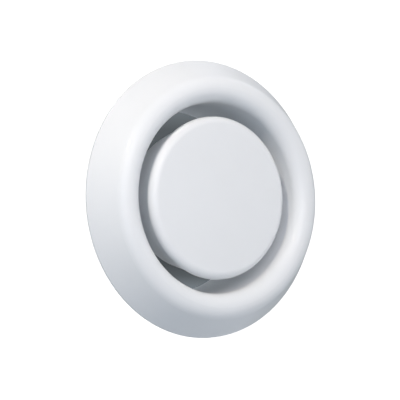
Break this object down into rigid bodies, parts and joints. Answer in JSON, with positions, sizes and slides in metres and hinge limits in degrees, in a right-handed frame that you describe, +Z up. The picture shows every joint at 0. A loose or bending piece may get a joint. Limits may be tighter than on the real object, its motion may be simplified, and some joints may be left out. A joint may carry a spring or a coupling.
{
  "type": "ceiling air diffuser",
  "caption": "Round white disc valve for a ceiling duct: flared ring, central disc on a threaded spindle that sets an annular air gap, spring-held in a flanged sleeve.",
  "frame": {"origin": "centre of the mounting flange's ceiling face: z = 0 is the ceiling surface, on the duct's axis", "axes": "+Z points up into the duct along the valve's axis, so the face looks down -Z; +X lies along the bridge"},
  "size_m": [0.165, 0.165, 0.081],
  "materials": {
    "white_powder_coat": "semi-gloss powder coat, cool white",
    "galvanised_sheet": "hot-dip zinc with a fine spangle",
    "zinc_plated_bar": "bright zinc plate on pressed bar",
    "zinc_plated_fastener": "bright zinc plate",
    "spring_steel": "blue-grey tempered strip",
    "rivet_aluminium": "satin",
    "seal_rubber": "matt black extruded rubber",
    "gasket_foam": "light grey closed-cell foam"
  },
  "bodies": {
    "frame": {"mounting_frame": "galvanised_sheet", "duct_seal": "seal_rubber"},
    "valve": {"valve_body": "white_powder_coat", "rim_gasket": "gasket_foam", "bridge": "zinc_plated_bar", "bridge_nut": "zinc_plated_fastener", "bridge_rivet_left": "rivet_aluminium", "bridge_rivet_right": "rivet_aluminium", "spring_clip_1": "spring_steel", "spring_clip_2": "spring_steel", "spring_clip_3": "spring_steel", "clip_rivet_1": "rivet_aluminium", "clip_rivet_2": "rivet_aluminium", "clip_rivet_3": "rivet_aluminium"},
    "spindle_stop": {"stop_washer": "zinc_plated_fastener"},
    "disc": {"spindle": "zinc_plated_fastener", "retaining_clip": "spring_steel", "disc_face": "white_powder_coat", "disc_cone": "white_powder_coat", "hub_plate": "zinc_plated_bar", "hub_washer": "zinc_plated_fastener", "hub_nut": "zinc_plated_fastener"},
    "nut_washer": {"lock_washer": "zinc_plated_fastener"},
    "nut": {"lock_nut": "zinc_plated_fastener"}
  },
  "joints": [
    {"name": "valve_pull", "type": "slide", "parent": "frame", "child": "valve", "axis": [0, 0, -1], "range_m": [0, 0.06]},
    {"name": "disc_travel", "type": "slide", "parent": "valve", "child": "spindle_stop", "axis": [0, 0, 1], "range_m": [-0.0125, 0.0075]},
    {"name": "disc_turn", "type": "hinge", "parent": "spindle_stop", "child": "disc", "pos_m": [0, 0, 0], "axis": [0, 0, 1], "range_deg": [-3600, 2160]},
    {"name": "nut_travel", "type": "slide", "parent": "valve", "child": "nut_washer", "axis": [0, 0, 1], "range_m": [0, 0.0025]},
    {"name": "nut_turn", "type": "hinge", "parent": "nut_washer", "child": "nut", "pos_m": [0, 0, 0], "axis": [0, 0, 1], "range_deg": [0, 720]}
  ],
  "couplings": [
    {"joint": "disc_travel", "follows": "disc_turn", "m_per_rad": 0.00019894},
    {"joint": "nut_travel", "follows": "nut_turn", "m_per_rad": 0.00019894}
  ]
}
